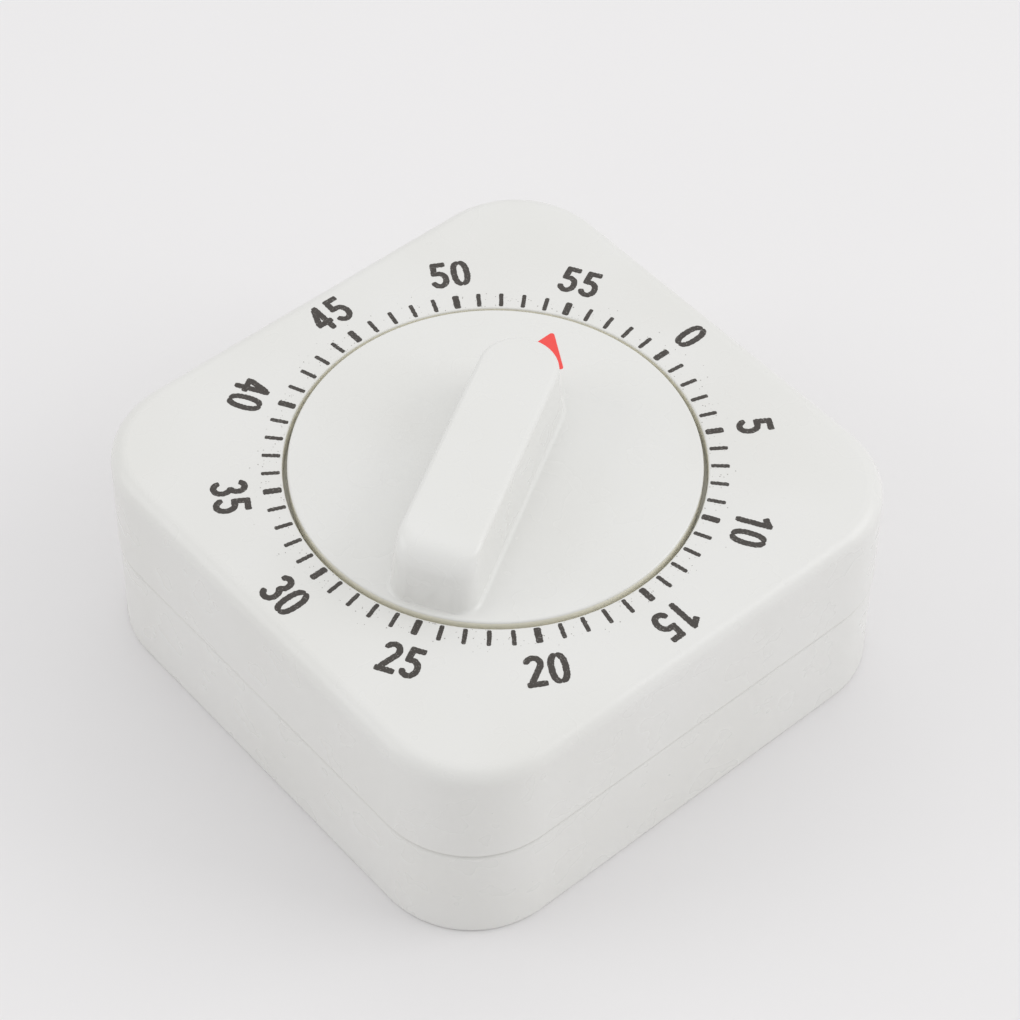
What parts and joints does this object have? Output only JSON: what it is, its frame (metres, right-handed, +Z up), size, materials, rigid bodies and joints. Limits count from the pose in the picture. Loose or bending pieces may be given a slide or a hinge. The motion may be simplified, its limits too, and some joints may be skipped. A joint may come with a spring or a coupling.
{
  "type": "mechanical kitchen timer",
  "caption": "Wind-up kitchen timer: a square white case in two shells, a round dial with a tapered grip over a minute scale, and a clockwork movement with a bell inside.",
  "frame": {"origin": "middle of the case's base, on the surface that it rests on", "axes": "+Z up through the dial's axis, +Y towards the zero mark of the minute scale, +X towards the fifteen-minute mark"},
  "size_m": [0.074, 0.074, 0.0389],
  "materials": {
    "white_case": "warm white moulded ABS, satin gloss",
    "white_dial": "warm white moulded ABS, glossy",
    "zinc_steel": "bright zinc-plated steel",
    "brass": "stamped brass, lightly grained",
    "blued_spring": "blued spring steel",
    "steel": "turned and stamped steel",
    "nickel_bell": "nickel-plated steel"
  },
  "bodies": {
    "case": {"upper_case": "white_case", "lower_case": "white_case", "case_screws": "zinc_steel", "movement_screws": "zinc_steel", "top_plate": "brass", "bottom_plate": "brass", "pillar_1": "brass", "pillar_2": "brass", "pillar_3": "brass", "pillar_4": "brass", "pillar_nuts": "zinc_steel", "spring_post": "zinc_steel", "mainspring": "blued_spring", "hammer_spring": "blued_spring", "bell": "nickel_bell", "bell_post": "nickel_bell", "bell_screw": "zinc_steel"},
    "dial": {"dial_knob": "white_dial", "main_arbor": "steel", "alarm_cam": "brass", "ratchet_wheel": "steel", "wheel_clip": "zinc_steel"},
    "main_wheel": {"main_wheel": "brass", "click_pin": "zinc_steel", "click_spring": "blued_spring"},
    "click": {"click": "steel"},
    "second_wheel": {"second_arbor": "steel", "second_wheel": "brass", "ring_wheel": "steel"},
    "third_wheel": {"third_arbor": "steel", "third_wheel": "brass"},
    "escape_wheel": {"escape_arbor": "steel", "escape_wheel": "brass"},
    "balance": {"balance_staff": "steel", "balance_wheel": "brass", "pallet_lever": "steel", "pallet_pins": "steel"},
    "hammer": {"hammer_arbor": "steel", "hammer_finger": "steel", "hammer_tail": "steel", "hammer_arm": "steel", "hammer_head": "brass"}
  },
  "joints": [
    {"name": "escape_wheel_turn", "type": "hinge", "parent": "case", "child": "escape_wheel", "pos_m": [0.0051, -0.01882, 0.0165], "axis": [0, 0, 1], "range_deg": [-172870, 16126]},
    {"name": "dial_turn", "type": "hinge", "parent": "case", "child": "dial", "pos_m": [0, 0, 0.0305], "axis": [0, 0, -1], "range_deg": [-329.28, 30.72], "deforming": ["mainspring"]},
    {"name": "main_wheel_turn", "type": "hinge", "parent": "case", "child": "main_wheel", "pos_m": [0, 0, 0.0188], "axis": [0, 0, -1], "range_deg": [-329.28, 30.72]},
    {"name": "second_wheel_turn", "type": "hinge", "parent": "case", "child": "second_wheel", "pos_m": [-0.01245, -0.01245, 0.0215], "axis": [0, 0, 1], "range_deg": [-3292.8, 307.2]},
    {"name": "third_wheel_turn", "type": "hinge", "parent": "case", "child": "third_wheel", "pos_m": [-0.00385, -0.01912, 0.0139], "axis": [0, 0, -1], "range_deg": [-24696, 2304]},
    {"name": "balance_swing", "type": "hinge", "parent": "case", "child": "balance", "pos_m": [0.01212, -0.01591, 0.0151], "axis": [0, 0, 1], "range_deg": [-6, 6]},
    {"name": "click_lift", "type": "hinge", "parent": "main_wheel", "child": "click", "pos_m": [0.0087, 0.00406, 0.0198], "axis": [0, 0, -1], "range_deg": [0, 8], "deforming": ["click_spring"]},
    {"name": "hammer_lift", "type": "hinge", "parent": "case", "child": "hammer", "pos_m": [-0.01782, -0.00251, 0.0172], "axis": [0, 0, -1], "range_deg": [0, 3], "deforming": ["hammer_spring"]}
  ],
  "couplings": [
    {"joint": "dial_turn", "follows": "escape_wheel_turn", "ratio": 0.0019048},
    {"joint": "main_wheel_turn", "follows": "escape_wheel_turn", "ratio": 0.0019048},
    {"joint": "second_wheel_turn", "follows": "escape_wheel_turn", "ratio": 0.019048},
    {"joint": "third_wheel_turn", "follows": "escape_wheel_turn", "ratio": 0.14286}
  ]
}
